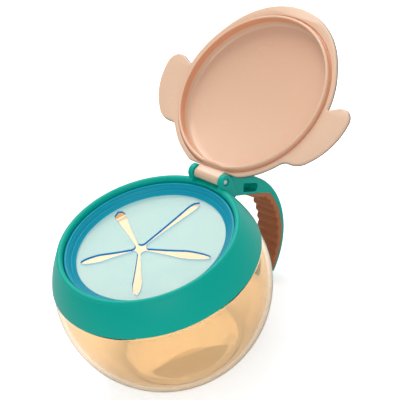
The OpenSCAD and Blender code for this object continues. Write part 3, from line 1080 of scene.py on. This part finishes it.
    def handle(self) -> bpy.types.Object:
        """Returns the handle with its pockets and the round bead at its free end."""
        rings = []
        for i, (outer, inner) in enumerate(self.stations()):
            edge = 0.7 + 0.7 * min(1.0, max(0.0, (i - 3) / 8))
            rings.append(self.section(outer, inner, self.width, edge, 0.35))
        a = math.radians(-self.end)
        middle = Vector(self.on_bow(-self.end, self.bow_r - self.bead))
        radial, ahead = Vector((math.cos(a), math.sin(a))), Vector((math.sin(a), -math.cos(a)))
        for turn in (math.radians(t) for t in (48, 66, 84, 102, 120, 138, 154, 168)):
            centre, high = middle - ahead * self.bead * math.cos(turn), self.bead * math.sin(turn)
            ends = tuple(centre + radial * high), tuple(centre - radial * high)
            width = self.width - 1.2 * (1 - math.sin(turn))
            rings.append(self.section(*ends, width, high * 0.9, high * 0.9))
        skin = Skin()
        skin.close(skin.stack(rings))
        body = skin.piece("handle_body")
        for place in (mirrored, across):
            tool = prism("pocket_cutter", self.pocket_outline(), (1.0, self.width), 0.35, place)
            body = boolean(body, tool)
        return body

    def pocket_outline(self) -> list[Point2]:
        """Returns the side pocket's outline in Y and Z, anticlockwise."""
        long, high = self.pocket[0] / 2, self.pocket[1] / 2
        r, small = 0.95 * high, 0.6
        flat = arc((long - r, r - high), r, -90, 0, 8) + arc((long - r, high - r), r, 0, 90, 8)
        flat += arc((small - long, high - small), small, 90, 175, 4)
        flat += arc((1.5 - long, small - high), small, 195, 270, 4)
        turn = math.radians(self.root_dir - 93)
        cosine, sine = math.cos(turn), math.sin(turn)
        y, z = self.on_bow(self.root_dir - 7.8, self.under + 3.7)
        return [(y + u * cosine - v * sine, z + u * sine + v * cosine) for u, v in flat]

    def build(self) -> None:
        """Builds and dresses the collar."""
        ring = revolve("collar_moulding", self.ring_profile(), 40)
        gap, reach = (-self.ear_in, self.ear_in), 12.0
        notch = rounded([(37.0, 68.9), (47.0, 68.9), (47.0, 76.0), (37.0, 76.0)], [0.6] * 4)
        ring = boolean(ring, prism("notch_cutter", notch, gap, 0.05, across))
        for place in (mirrored, across):
            span = (self.ear_in, self.ear_in + self.ear_t)
            ring = boolean(ring, prism("ear_blank", self.ear_outline(), span, 0.45, place), "UNION")
        ring = boolean(ring, self.handle(), "UNION")
        bores = (
            (PIN_BORE, (-reach, reach)), (self.pin_seat, (self.pin_half, reach)),
            (self.pin_seat, (-reach, -self.pin_half)), (self.scoop_r, gap),
        )
        for radius, span in bores:
            ring = boolean(ring, cutter("bore_cutter", round_bar(radius), span))
        dress(smooth(ring, 30), "collar", "collar", "collar_teal", Finish.TEAL)


@dataclass
class Grip:
    """The soft ribbed pad on the inside of the handle."""

    collar: Collar
    thick: float = 2.1
    rib: float = 0.9
    pitch: float = 4.5
    phase: float = 1.2
    end: float = 57.0
    wedge: float = 10.0
    reach: float = 13.4
    start: float = 1.8
    root_end: float = 12.4

    def rib_height(self, distance: float) -> float:
        """Returns the rib's height at a distance along the grip, in millimetres."""
        share = ((distance + self.phase) / self.pitch) % 1.0
        return self.rib * (0.5 - 0.5 * math.cos(2 * math.pi * share)) ** 0.75

    def stations(self) -> list[tuple[Point2, Point2]]:
        """Returns pairs of points on the spine and on the ribbed side."""
        c = self.collar
        turn = math.radians(c.root_dir - 90 - self.wedge)
        way, outwards = Vector((math.cos(turn), math.sin(turn))), Vector((math.sin(turn), -math.cos(turn)))
        first = Vector(c.root(self.start))
        pairs: list[tuple[Point2, Point2]] = []
        travelled = 0.0
        for t in (i / 44 for i in range(44)):
            travelled = self.reach * t
            lift = self.rib_height(travelled) * min(1.0, t * 3) * 0.8
            on_root = c.root(self.start + (self.root_end - self.start) * t)
            pairs.append((on_root, tuple(first + way * travelled + outwards * lift)))
        swing = c.corner_dir + self.end
        length = math.radians(swing) * (c.inner_r - self.thick)
        for t in (i / 170 for i in range(171)):
            angle = c.corner_dir - swing * t
            rib = self.rib_height(travelled + length * t) * min(1.0, (1 - t) * 20 + 0.2)
            pairs.append((c.inner_at(angle, 0.02), c.inner_at(angle, self.thick + rib)))
        return pairs

    def build(self) -> None:
        """Builds and dresses the grip."""
        width, thinnest = self.collar.width - 0.1, 0.15
        rings = [
            Collar.section(inner, outer, width, 0.7, 0.15, 4) for outer, inner in self.stations()
            if (Vector(outer) - Vector(inner)).length > thinnest
        ]
        skin = Skin()
        skin.close(skin.stack(rings))
        dress(skin.piece("grip_pad", 50), "handle_grip", "collar", "grip_brown", Finish.GRIP)


@dataclass
class HingePin:
    """The steel pin of the lid's hinge."""

    radius: float = 1.25
    half: float = 10.1

    def build(self) -> None:
        """Builds and dresses the pin."""
        steps = (0.35, 0.0), (0.1, 0.1), (0.0, 0.35)
        ends = [(self.radius - less, self.half - back) for less, back in steps]
        levels = [(r, -x) for r, x in ends] + ends[::-1]
        skin = Skin()
        skin.close(skin.stack([[(x, y, z) for y, z in round_bar(r)] for r, x in levels]))
        dress(skin.piece("steel_pin", 50), "hinge_pin", "collar", "pin_steel", Finish.STEEL)


@dataclass
class SlitInsert:
    """The soft insert: a funnel-shaped rim and a film cut by a star of slits."""

    film_r: float = 34.8
    film_in: float = 34.75
    outer_r: float = 39.7
    seat_r: float = 42.1
    slit_dirs: tuple[float, ...] = (13.0, 89.0, 161.0, 225.0, 301.0)
    slit_ends: tuple[float, ...] = (31.8, 33.3, 33.3, 32.9, 31.5)
    widest: tuple[float, ...] = (0.62, 0.86, 0.88, 0.66, 0.74)
    broadest: tuple[float, ...] = (2.6, 2.3, 2.5, 2.6, 2.2)
    star: Point2 = (-4.0, -3.5)
    slit_min: float = 0.7
    tip_r: float = 2.2
    columns: int = 26
    rows: int = 46
    row_gap: float = 0.015
    bend_in: float = 1.7
    bend_out: float = 1.3

    def ring_profile(self) -> list[Point2]:
        """Returns the rim's turned profile: radius, height and rounding of each corner."""
        edge, wall, seat = self.film_in, self.outer_r, self.seat_r
        low, under, over = MEMBRANE_Z - 0.9, NECK_TOP + 0.3, LEDGE_Z - 0.305
        corners = (
            (edge, MEMBRANE_Z, 0.05), (36.4, MEMBRANE_Z, 0.3), (37.4, low, 0.3), (wall, low, 0.2),
            (wall, under, 0.2), (seat, under, 0.3), (seat, over, 0.3), (wall, over, 0.2),
            (wall, 67.95, 0.4), (38.75, 68.05, 0.3), (38.3, 67.85, 0.2), (38.25, 67.45, 0.15),
            (37.75, 67.2, 0.3), (36.95, 66.25, 0.3), (36.85, 65.95, 0.12), (36.35, 65.75, 0.3),
            (35.6, 65.0, 0.8), (35.1, 64.65, 0.4), (edge, MEMBRANE_TOP, 0.05),
        )
        return rounded([(r, z) for r, z, _ in corners], [bend for _, _, bend in corners], 4)

    def tip(self, k: int) -> Vector:
        """Returns the outer end of slit k."""
        a = math.radians(self.slit_dirs[k % 5])
        return Vector((math.cos(a), math.sin(a))) * self.slit_ends[k % 5]

    def way(self, k: int) -> tuple[Vector, float]:
        """Returns slit k's direction and length from the star's middle."""
        v = self.tip(k) - Vector(self.star)
        return v.normalized(), v.length

    def half_width(self, k: int, q: float) -> float:
        """Returns half of slit k's width a part q along it."""
        widest, broadest = self.widest[k % 5], self.broadest[k % 5]
        if q < widest:
            return self.slit_min + (broadest - self.slit_min) * (q / widest) ** 1.6
        return broadest * math.sqrt(max(0.0, 1 - ((q - widest) / (1 - widest)) ** 2))

    def slit_side(self, k: int, q: float, side: int) -> Vector:
        """Returns a point on one side of slit k, a part q along it."""
        d, length = self.way(k)
        return Vector(self.star) + d * length * q + Vector((-d.y, d.x)) * side * self.half_width(k, q)

    def point_row(self, k: int, half: float, mid: Vector) -> list[Vector]:
        """Returns the row of points round a flap's rounded point.

        Args:
            k: The number of the slit before the flap.
            half: Half the angle between its two slits.
            mid: The direction between them.

        Returns:
            The points.
        """
        centre = Vector(self.star) + mid * ((self.slit_min + self.tip_r) / math.sin(half))
        facing, spread = math.atan2(mid.y, mid.x) + math.pi, math.pi / 2 - half
        turns = (facing + spread * (1 - 2 * c / self.columns) for c in range(self.columns + 1))
        return [centre + Vector((math.cos(a), math.sin(a))) * self.tip_r for a in turns]

    def flap_grid(self, k: int) -> list[list[Vector]]:
        """Returns the rows of points of the film between slit k and the next, from its point outwards."""
        (d0, len0), (d1, len1) = self.way(k), self.way(k + 1)
        half = math.acos(max(-1.0, min(1.0, d0.dot(d1)))) / 2
        grid = [self.point_row(k, half, (d0 + d1).normalized())]
        reach = (self.slit_min + self.tip_r) / math.tan(half)
        chord = self.tip(k + 1) - self.tip(k)
        outwards = Vector((chord.y, -chord.x)).normalized()
        shares = [c / self.columns for c in range(self.columns + 1)]
        for r in range(1, self.rows + 1):
            t = 1 - (1 - r / self.rows) ** 1.35
            q0, q1 = (reach / n + (1 - reach / n) * t for n in (len0, len1))
            limit = self.tip(k).dot(outwards) - self.row_gap * (self.rows - r)
            sides = self.slit_side(k, q0, 1), self.slit_side(k + 1, q1, -1)
            one, two = (p - outwards * max(0.0, p.dot(outwards) - limit) for p in sides)
            grid.append([one.lerp(two, share) for share in shares])
        start, end = (math.radians(self.slit_dirs[n % 5]) for n in (k, k + 1))
        end += 2 * math.pi if end < start else 0.0
        turns = [start + (end - start) * share for share in shares]
        edge = [Vector((math.cos(a), math.sin(a))) * (self.film_r + 0.25) for a in turns]
        last = grid[-1]
        grid += [[p.lerp(q, v) for p, q in zip(last, edge)] for v in (0.2, 0.4, 0.6, 0.8, 1.0)]
        return grid

    def film(self, k: int) -> None:
        """Builds and dresses the film between slit k and the next.

        Args:
            k: The slit's number.
        """
        grid = self.flap_grid(k)
        skin = Skin()
        sides = MEMBRANE_TOP, MEMBRANE_Z
        top, low = ([skin.ring([(p.x, p.y, z) for p in row]) for row in grid] for z in sides)
        for one, two in zip(top, top[1:]):
            skin.band(one, two, closed=False)
        for one, two in zip(low, low[1:]):
            skin.band(two, one, closed=False)
        flat_faces = len(skin.faces)
        skin.band(low[0], top[0], closed=False)
        for r in range(self.rows):
            for column in (0, -1):
                rim = [top[r][column], top[r + 1][column], low[r + 1][column], low[r][column]]
                skin.faces.append(tuple(rim))
        mesh = bpy.data.meshes.new(f"film_{k + 1}")
        mesh.from_pydata([tuple(c * MM for c in p) for p in skin.points], [], skin.faces)
        for face in mesh.polygons:
            face.material_index = 0 if face.index < flat_faces else 1
            face.use_smooth = True
        bm = bmesh.new()
        bm.from_mesh(mesh)
        bmesh.ops.remove_doubles(bm, verts=bm.verts, dist=1e-6)
        bmesh.ops.recalc_face_normals(bm, faces=bm.faces)
        limit = math.radians(60)
        sharp = [e for e in bm.edges if len(e.link_faces) == 2 and e.calc_face_angle(0.0) > limit]
        bmesh.ops.bevel(
            bm, geom=sharp, offset=0.15 * MM, segments=2, affect="EDGES", profile=0.5, clamp_overlap=True,
        )
        bm.to_mesh(mesh)
        bm.free()
        piece = linked(f"film_{k + 1}", mesh, 40)
        dress(piece, f"flap_{k + 1}", "", "flap_aqua", Finish.FILM, Finish.FILM_EDGE)
        a, b = self.tip(k), self.tip(k + 1)
        inwards, middle = Vector((a.y - b.y, b.x - a.x)).normalized(), (a + b) / 2
        ends = middle - inwards * self.bend_out, middle + inwards * self.bend_in
        start, end = ((p.x * MM, p.y * MM, MEMBRANE_TOP * MM) for p in ends)
        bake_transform(piece)
        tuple(start)
        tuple(end)

    def build(self) -> None:
        """Builds and dresses the insert."""
        ring = revolve("insert_rim", self.ring_profile(), 45)
        dress(ring, "flap_ring", "insert", "insert_blue", Finish.RING)
        for k in range(5):
            self.film(k)


@dataclass
class Lid:
    """The flip lid: a dish with a rim, a flat flange with tabs, a strap and a dark outer skin."""

    flange_r: float = 42.4
    thumb_y: float = -6.0
    thumb_r: float = 39.3
    back: float = 39.9
    plate_t: float = 1.25
    plate_edge: float = 0.45
    skin_t: float = 0.35
    skin_lip: float = 0.2
    height: float = 6.4
    wall: float = 1.8
    crown: float = 3.0
    rim_h: float = 2.0
    rim_r: float = 0.75
    dish_r: float = 37.8
    dish_less: float = 0.6
    fillet: float = 1.5
    corner: float = 3.0
    drum_r: float = 40.2
    shoulder: float = 4.0
    drum_less: float = 1.6
    strap_half: float = 7.5
    strap_in: float = 38.6
    barrel: float = 2.6

    def outline(self, grow: float) -> list[Point2]:
        """Returns the flange's outline with its tabs, anticlockwise from the thumb tab.

        Args:
            grow: How far the outline is moved outwards, except at the straight back.

        Returns:
            The outline.
        """
        right: list[Point2] = []
        for a in (math.radians(-90 + 86 * i / 80) for i in range(81)):
            lobe = self.thumb_y * math.sin(a)
            lobe += math.sqrt(self.thumb_r ** 2 - (self.thumb_y * math.cos(a)) ** 2)
            gap = lobe - self.flange_r
            r = self.flange_r + (gap + math.sqrt(gap * gap + 0.25)) / 2
            right.append((r * math.cos(a), r * math.sin(a)))
        right += [(42.6, -3.4)] + arc((50.3, -1.0), 5.5, -128, 0, 16)
        right += arc((24.3, -0.8), 31.5, 2, 49, 18)[1:] + arc((37.6, 12.9), 12.7, 55, 100, 12)
        last = math.degrees(math.asin(self.back / self.flange_r))
        right += arc((0, 0), self.flange_r, 39, last - 1.5, 16)
        x = math.sqrt(self.flange_r ** 2 - self.back ** 2)
        right += [(x - 0.6, self.back), (9.5, self.back), (4.0, self.back)]
        left = [(-x, y) for x, y in reversed(right) if x > 1e-6]
        grown = inset(self.softened(right + left), -grow)
        return [(x, min(y, self.back)) for x, y in grown]

    @staticmethod
    def softened(points: Sequence[Point2], rounds: int = 3, pitch: float = 0.7) -> list[Point2]:
        """Smooths an outline's small corners by averaging, with points kept evenly close.

        Args:
            points: The outline.
            rounds: How many times it is averaged.
            pitch: The points' distance.

        Returns:
            The outline with new points.
        """
        dense: list[Vector] = []
        for i, p in enumerate(points):
            a, b = Vector(p), Vector(points[(i + 1) % len(points)])
            count = max(1, round((b - a).length / pitch))
            dense += [a.lerp(b, k / count) for k in range(count)]
        for _ in range(rounds):
            after = dense[1:] + dense[:1]
            dense = [(dense[i - 1] + here * 2 + after[i]) / 4 for i, here in enumerate(dense)]
        return [tuple(p) for p in dense]

    @staticmethod
    def swung(piece: bpy.types.Object) -> bpy.types.Object:
        """Turns a shut piece's mesh to where it rests wide open, and returns the piece."""
        cosine, sine = math.cos(LID_OPEN), math.sin(LID_OPEN)
        for vertex in piece.data.vertices:
            y, z = vertex.co.y / MM - AXIS_Y, vertex.co.z / MM - AXIS_Z
            vertex.co.y = (AXIS_Y + y * cosine + z * sine) * MM
            vertex.co.z = (AXIS_Z - y * sine + z * cosine) * MM
        piece.data.update()
        return piece

    def level(self, radius: float, z: float, less: float) -> list[Point3]:
        """Returns a round ring, straight at the back, where it is less deep by a given size."""
        return [(x, y, z) for x, y in d_outline(radius, radius - less, self.corner)]

    def crowned(self, radius: float, z: float, less: float) -> list[list[Point3]]:
        """Returns the rings of a crowned face, from its edge to its middle."""
        edge = d_outline(radius, radius - less, self.corner)
        shares = (1.0, 0.95, 0.87, 0.76, 0.63, 0.49, 0.35, 0.21, 0.09, 0.02)
        return [[(x * q, y * q, z + self.crown * (1 - q * q)) for x, y in edge] for q in shares]

    def dish(self) -> list[list[Point3]]:
        """Returns the dish's rings, from its middle over the rim into the groove beside it."""
        less, bend = self.dish_less, self.fillet
        ceiling, inner = LID_Z + self.height - self.wall, self.dish_r - 0.3 - bend
        crest = LID_Z - self.rim_h + self.rim_r
        rings = list(reversed(self.crowned(inner, ceiling, less)))
        slope = 2 * self.crown / inner
        for a in (8, 18, 30, 42, 54, 66, 78, 89):
            out, up = math.sin(math.radians(a)), math.cos(math.radians(a))
            drop = bend * (1 - up) + slope * bend * out * (1 - a / 90)
            rings.append(self.level(inner + bend * out, ceiling - drop, less))
        rings.append(self.level(self.dish_r - 0.05, crest + 0.5, less))
        rim = arc((self.dish_r + self.rim_r, crest), self.rim_r, 180, 360, 12)
        rings += [self.level(r, z, less) for r, z in rim]
        groove = (
            (39.32, 0.0, 38.72), (39.34, 0.4, 38.74), (39.44, 0.66, 38.8), (39.68, 0.74, 38.88),
            (40.0, 0.64, 38.98), (40.2, 0.4, 39.06), (40.34, 0.12, 39.12), (40.6, 0.0, 39.2),
        )
        return rings + [self.level(r, LID_Z + up, r - back) for r, up, back in groove]

    def shell(self) -> bpy.types.Object:
        """Returns the cream dish with its rim, flange and drum."""
        skin = Skin()
        ids = skin.stack(self.dish())
        skin.cap(list(reversed(ids[0])))
        flat, r = self.outline(0.0), self.plate_edge
        turns = (math.pi / 2 * i / 4 for i in range(5))
        edge = [(r * (1 - math.sin(t)), LID_Z + r * (1 - math.cos(t))) for t in turns]
        sides = [[(x, y, z) for x, y in inset(flat, d)] for d, z in edge]
        sides.append([(x, y, LID_Z + self.plate_t - 0.01) for x, y in flat])
        plate = skin.stack(sides)
        skin.plate(plate[0], ids[-1])
        top = skin.stack(self.drum(-0.02))
        skin.plate(plate[-1], top[0])
        skin.cap(top[-1])
        return skin.piece("lid_dish", 40)

    def drum(self, grow: float) -> list[list[Point3]]:
        """Returns the drum's rings from the flange up to the crown's middle, grown outwards."""
        low = LID_Z + self.plate_t + (self.skin_t if grow > 0 else -0.01)
        r, s, less = self.drum_r + grow, self.shoulder + grow, self.drum_less
        top = LID_Z + self.height + grow
        rings = [self.level(r, low, less)]
        for turn in (math.radians(a) for a in range(0, 90, 11)):
            z = max(low + 0.02, top - s * (1 - math.sin(turn)))
            rings.append(self.level(r - s * (1 - math.cos(turn)), z, less))
        return rings + self.crowned(r - s, top, less)

    def outer_skin(self) -> bpy.types.Object:
        """Returns the thin dark skin over the lid's outside."""
        skin = Skin()
        low, high = LID_Z + self.plate_t, LID_Z + self.plate_t + self.skin_t
        flat = self.outline(self.skin_lip)
        levels = ((0.12, low), (0.0, low + 0.1), (0.0, high - 0.1), (0.12, high))
        edge = skin.stack([[(x, y, z) for x, y in inset(flat, d)] for d, z in levels])
        outer, inner = skin.stack(self.drum(self.skin_t)), skin.stack(self.drum(0.0))
        skin.plate(edge[-1], outer[0])
        skin.plate(edge[0], inner[0])
        skin.cap(outer[-1])
        skin.cap(list(reversed(inner[-1])))
        half = self.strap_half + 0.2
        gap = [(self.strap_in, 69.5), (48.0, 69.5), (48.0, 74.3), (self.strap_in, 74.3)]
        return boolean(skin.piece("lid_outer_skin", 40), cutter("strap_cutter", gap, (-half, half)))

    def strap(self) -> bpy.types.Object:
        """Returns the strap and barrel that carry the lid on its pin."""
        outline = arc((AXIS_Y, AXIS_Z), self.barrel, -105, 90, 26)
        outline += [(41.5, AXIS_Z + self.barrel), (39.0, LID_Z + 3.6), (self.strap_in, LID_Z + 3.0)]
        outline += [(self.strap_in, LID_Z + 0.02), (39.85, LID_Z + 0.02), (41.6, 69.75)]
        body = prism("strap_body", outline, (-self.strap_half, self.strap_half), 0.3, across)
        return boolean(body, cutter("bore_cutter", round_bar(PIN_BORE), (-9, 9)))

    def build(self) -> None:
        """Builds and dresses the lid, wide open."""
        shell = boolean(self.shell(), self.strap(), "UNION")
        dress(smooth(self.swung(shell), 35), "lid", "lid", "lid_cream", Finish.CREAM)
        skin = smooth(self.swung(self.outer_skin()), 40)
        dress(skin, "lid_skin", "lid", "skin_brown", Finish.SKIN)


# Studio


@dataclass
class Studio:
    """Floor, lights and camera."""

    azimuth: float = 53.351
    elevation: float = 38.256
    roll: float = 18.187
    distance: float = 1000.0
    focal_px: float = 2194.64
    photo_px: float = 400.0
    sensor: float = 36.0
    side: float = 16.72
    up: float = 37.529
    sky: Colour = (0.93, 0.96, 1.0)
    sky_light: float = 0.5
    floor_half: float = 3000.0
    floor_z: float = -0.2
    floor_grey: float = 0.86
    floor_light: float = 0.56

    def camera(self) -> None:
        """Makes the camera at the photograph's viewing angle."""
        a, e, r = (math.radians(v) for v in (self.azimuth, self.elevation, self.roll))
        back = Vector((math.sin(a) * math.cos(e), -math.cos(a) * math.cos(e), math.sin(e)))
        right = Vector((math.cos(a), math.sin(a), 0.0))
        above = back.cross(right)
        x_axis = right * math.cos(r) - above * math.sin(r)
        y_axis = right * math.sin(r) + above * math.cos(r)
        spot = back * self.distance + x_axis * self.side + y_axis * self.up + Vector((0, 0, BALL_Z))
        data = bpy.data.cameras.new("camera")
        data.sensor_width = self.sensor
        data.lens = self.focal_px / self.photo_px * self.sensor
        data.clip_start, data.clip_end = 0.01, 50.0
        camera = bpy.data.objects.new("camera", data)
        bpy.context.scene.collection.objects.link(camera)
        turned = Matrix((x_axis, y_axis, back)).transposed().to_4x4()
        camera.matrix_world = Matrix.Translation(spot * MM) @ turned
        bpy.context.scene.camera = camera

    @staticmethod
    def lamp(name: str, spot: Point3, watts: float, colour: Colour) -> None:
        """Makes a square soft lamp that looks at the container.

        Args:
            name: The lamp's name.
            spot: Its place in metres.
            watts: Its power.
            colour: Its colour.
        """
        data = bpy.data.lights.new(name, "AREA")
        data.size, data.energy, data.color = 0.9, watts, colour
        lamp = bpy.data.objects.new(name, data)
        bpy.context.scene.collection.objects.link(lamp)
        lamp.location = spot
        lamp.rotation_mode = "QUATERNION"
        lamp.rotation_quaternion = (Vector((0, 0.01, 0.05)) - Vector(spot)).to_track_quat("-Z", "Y")

    def world(self) -> None:
        """Makes a plain pale world that is white to the camera and through clear plastic."""
        world = bpy.data.worlds.new("studio")
        bpy.context.scene.world = world
        g = Graph(world)
        plain = g.add("ShaderNodeBackground", None, {"Color": (*self.sky, 1.0), "Strength": self.sky_light})
        white = g.add("ShaderNodeBackground", None, {"Color": (1.0, 1.0, 1.0, 1.0), "Strength": 1.0})
        g.finish(g.blended(g.seen(), plain, white))

    def floor(self) -> None:
        """Makes the pale floor, white to the camera except where the container shades it."""
        half, z = self.floor_half, self.floor_z
        corners = [(-half, -half, z), (half, -half, z), (half, half, z), (-half, half, z)]
        floor = mesh_piece("floor", corners, [(0, 1, 2, 3)])
        g = Graph(bpy.data.materials.new("pale_floor"))
        plain = g.add("ShaderNodeBsdfDiffuse", None, {"Color": (*[self.floor_grey] * 3, 1.0)})
        light = {"Color": (1.0, 1.0, 1.0, 1.0), "Strength": self.floor_light}
        glow = g.add("ShaderNodeEmission", None, light)
        both = g.add("ShaderNodeAddShader", None, {0: plain.outputs[0], 1: glow.outputs[0]})
        floor.data.materials.append(g.finish(g.blended(g.seen(), plain, both)))

    def build(self) -> None:
        """Sets up the studio."""
        self.camera()
        self.world()
        self.floor()
        self.lamp("key", (-0.55, 0.55, 1.05), 11.0, (1.0, 0.99, 0.97))
        self.lamp("fill", (0.9, -0.75, 0.75), 5.0, (0.97, 0.985, 1.0))
        bpy.context.scene.view_settings.view_transform = "Standard"


def main() -> None:
    """Builds the studio and every piece."""
    logging.basicConfig(level=logging.INFO, format="%(message)s")
    LOG.info("%d nodes to stand for", len(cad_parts))
    Studio().build()
    collar = Collar()
    for part in (Bowl(), collar, Grip(collar), HingePin(), SlitInsert(), Lid()):
        part.build()


if __name__ == "__main__":
    main()
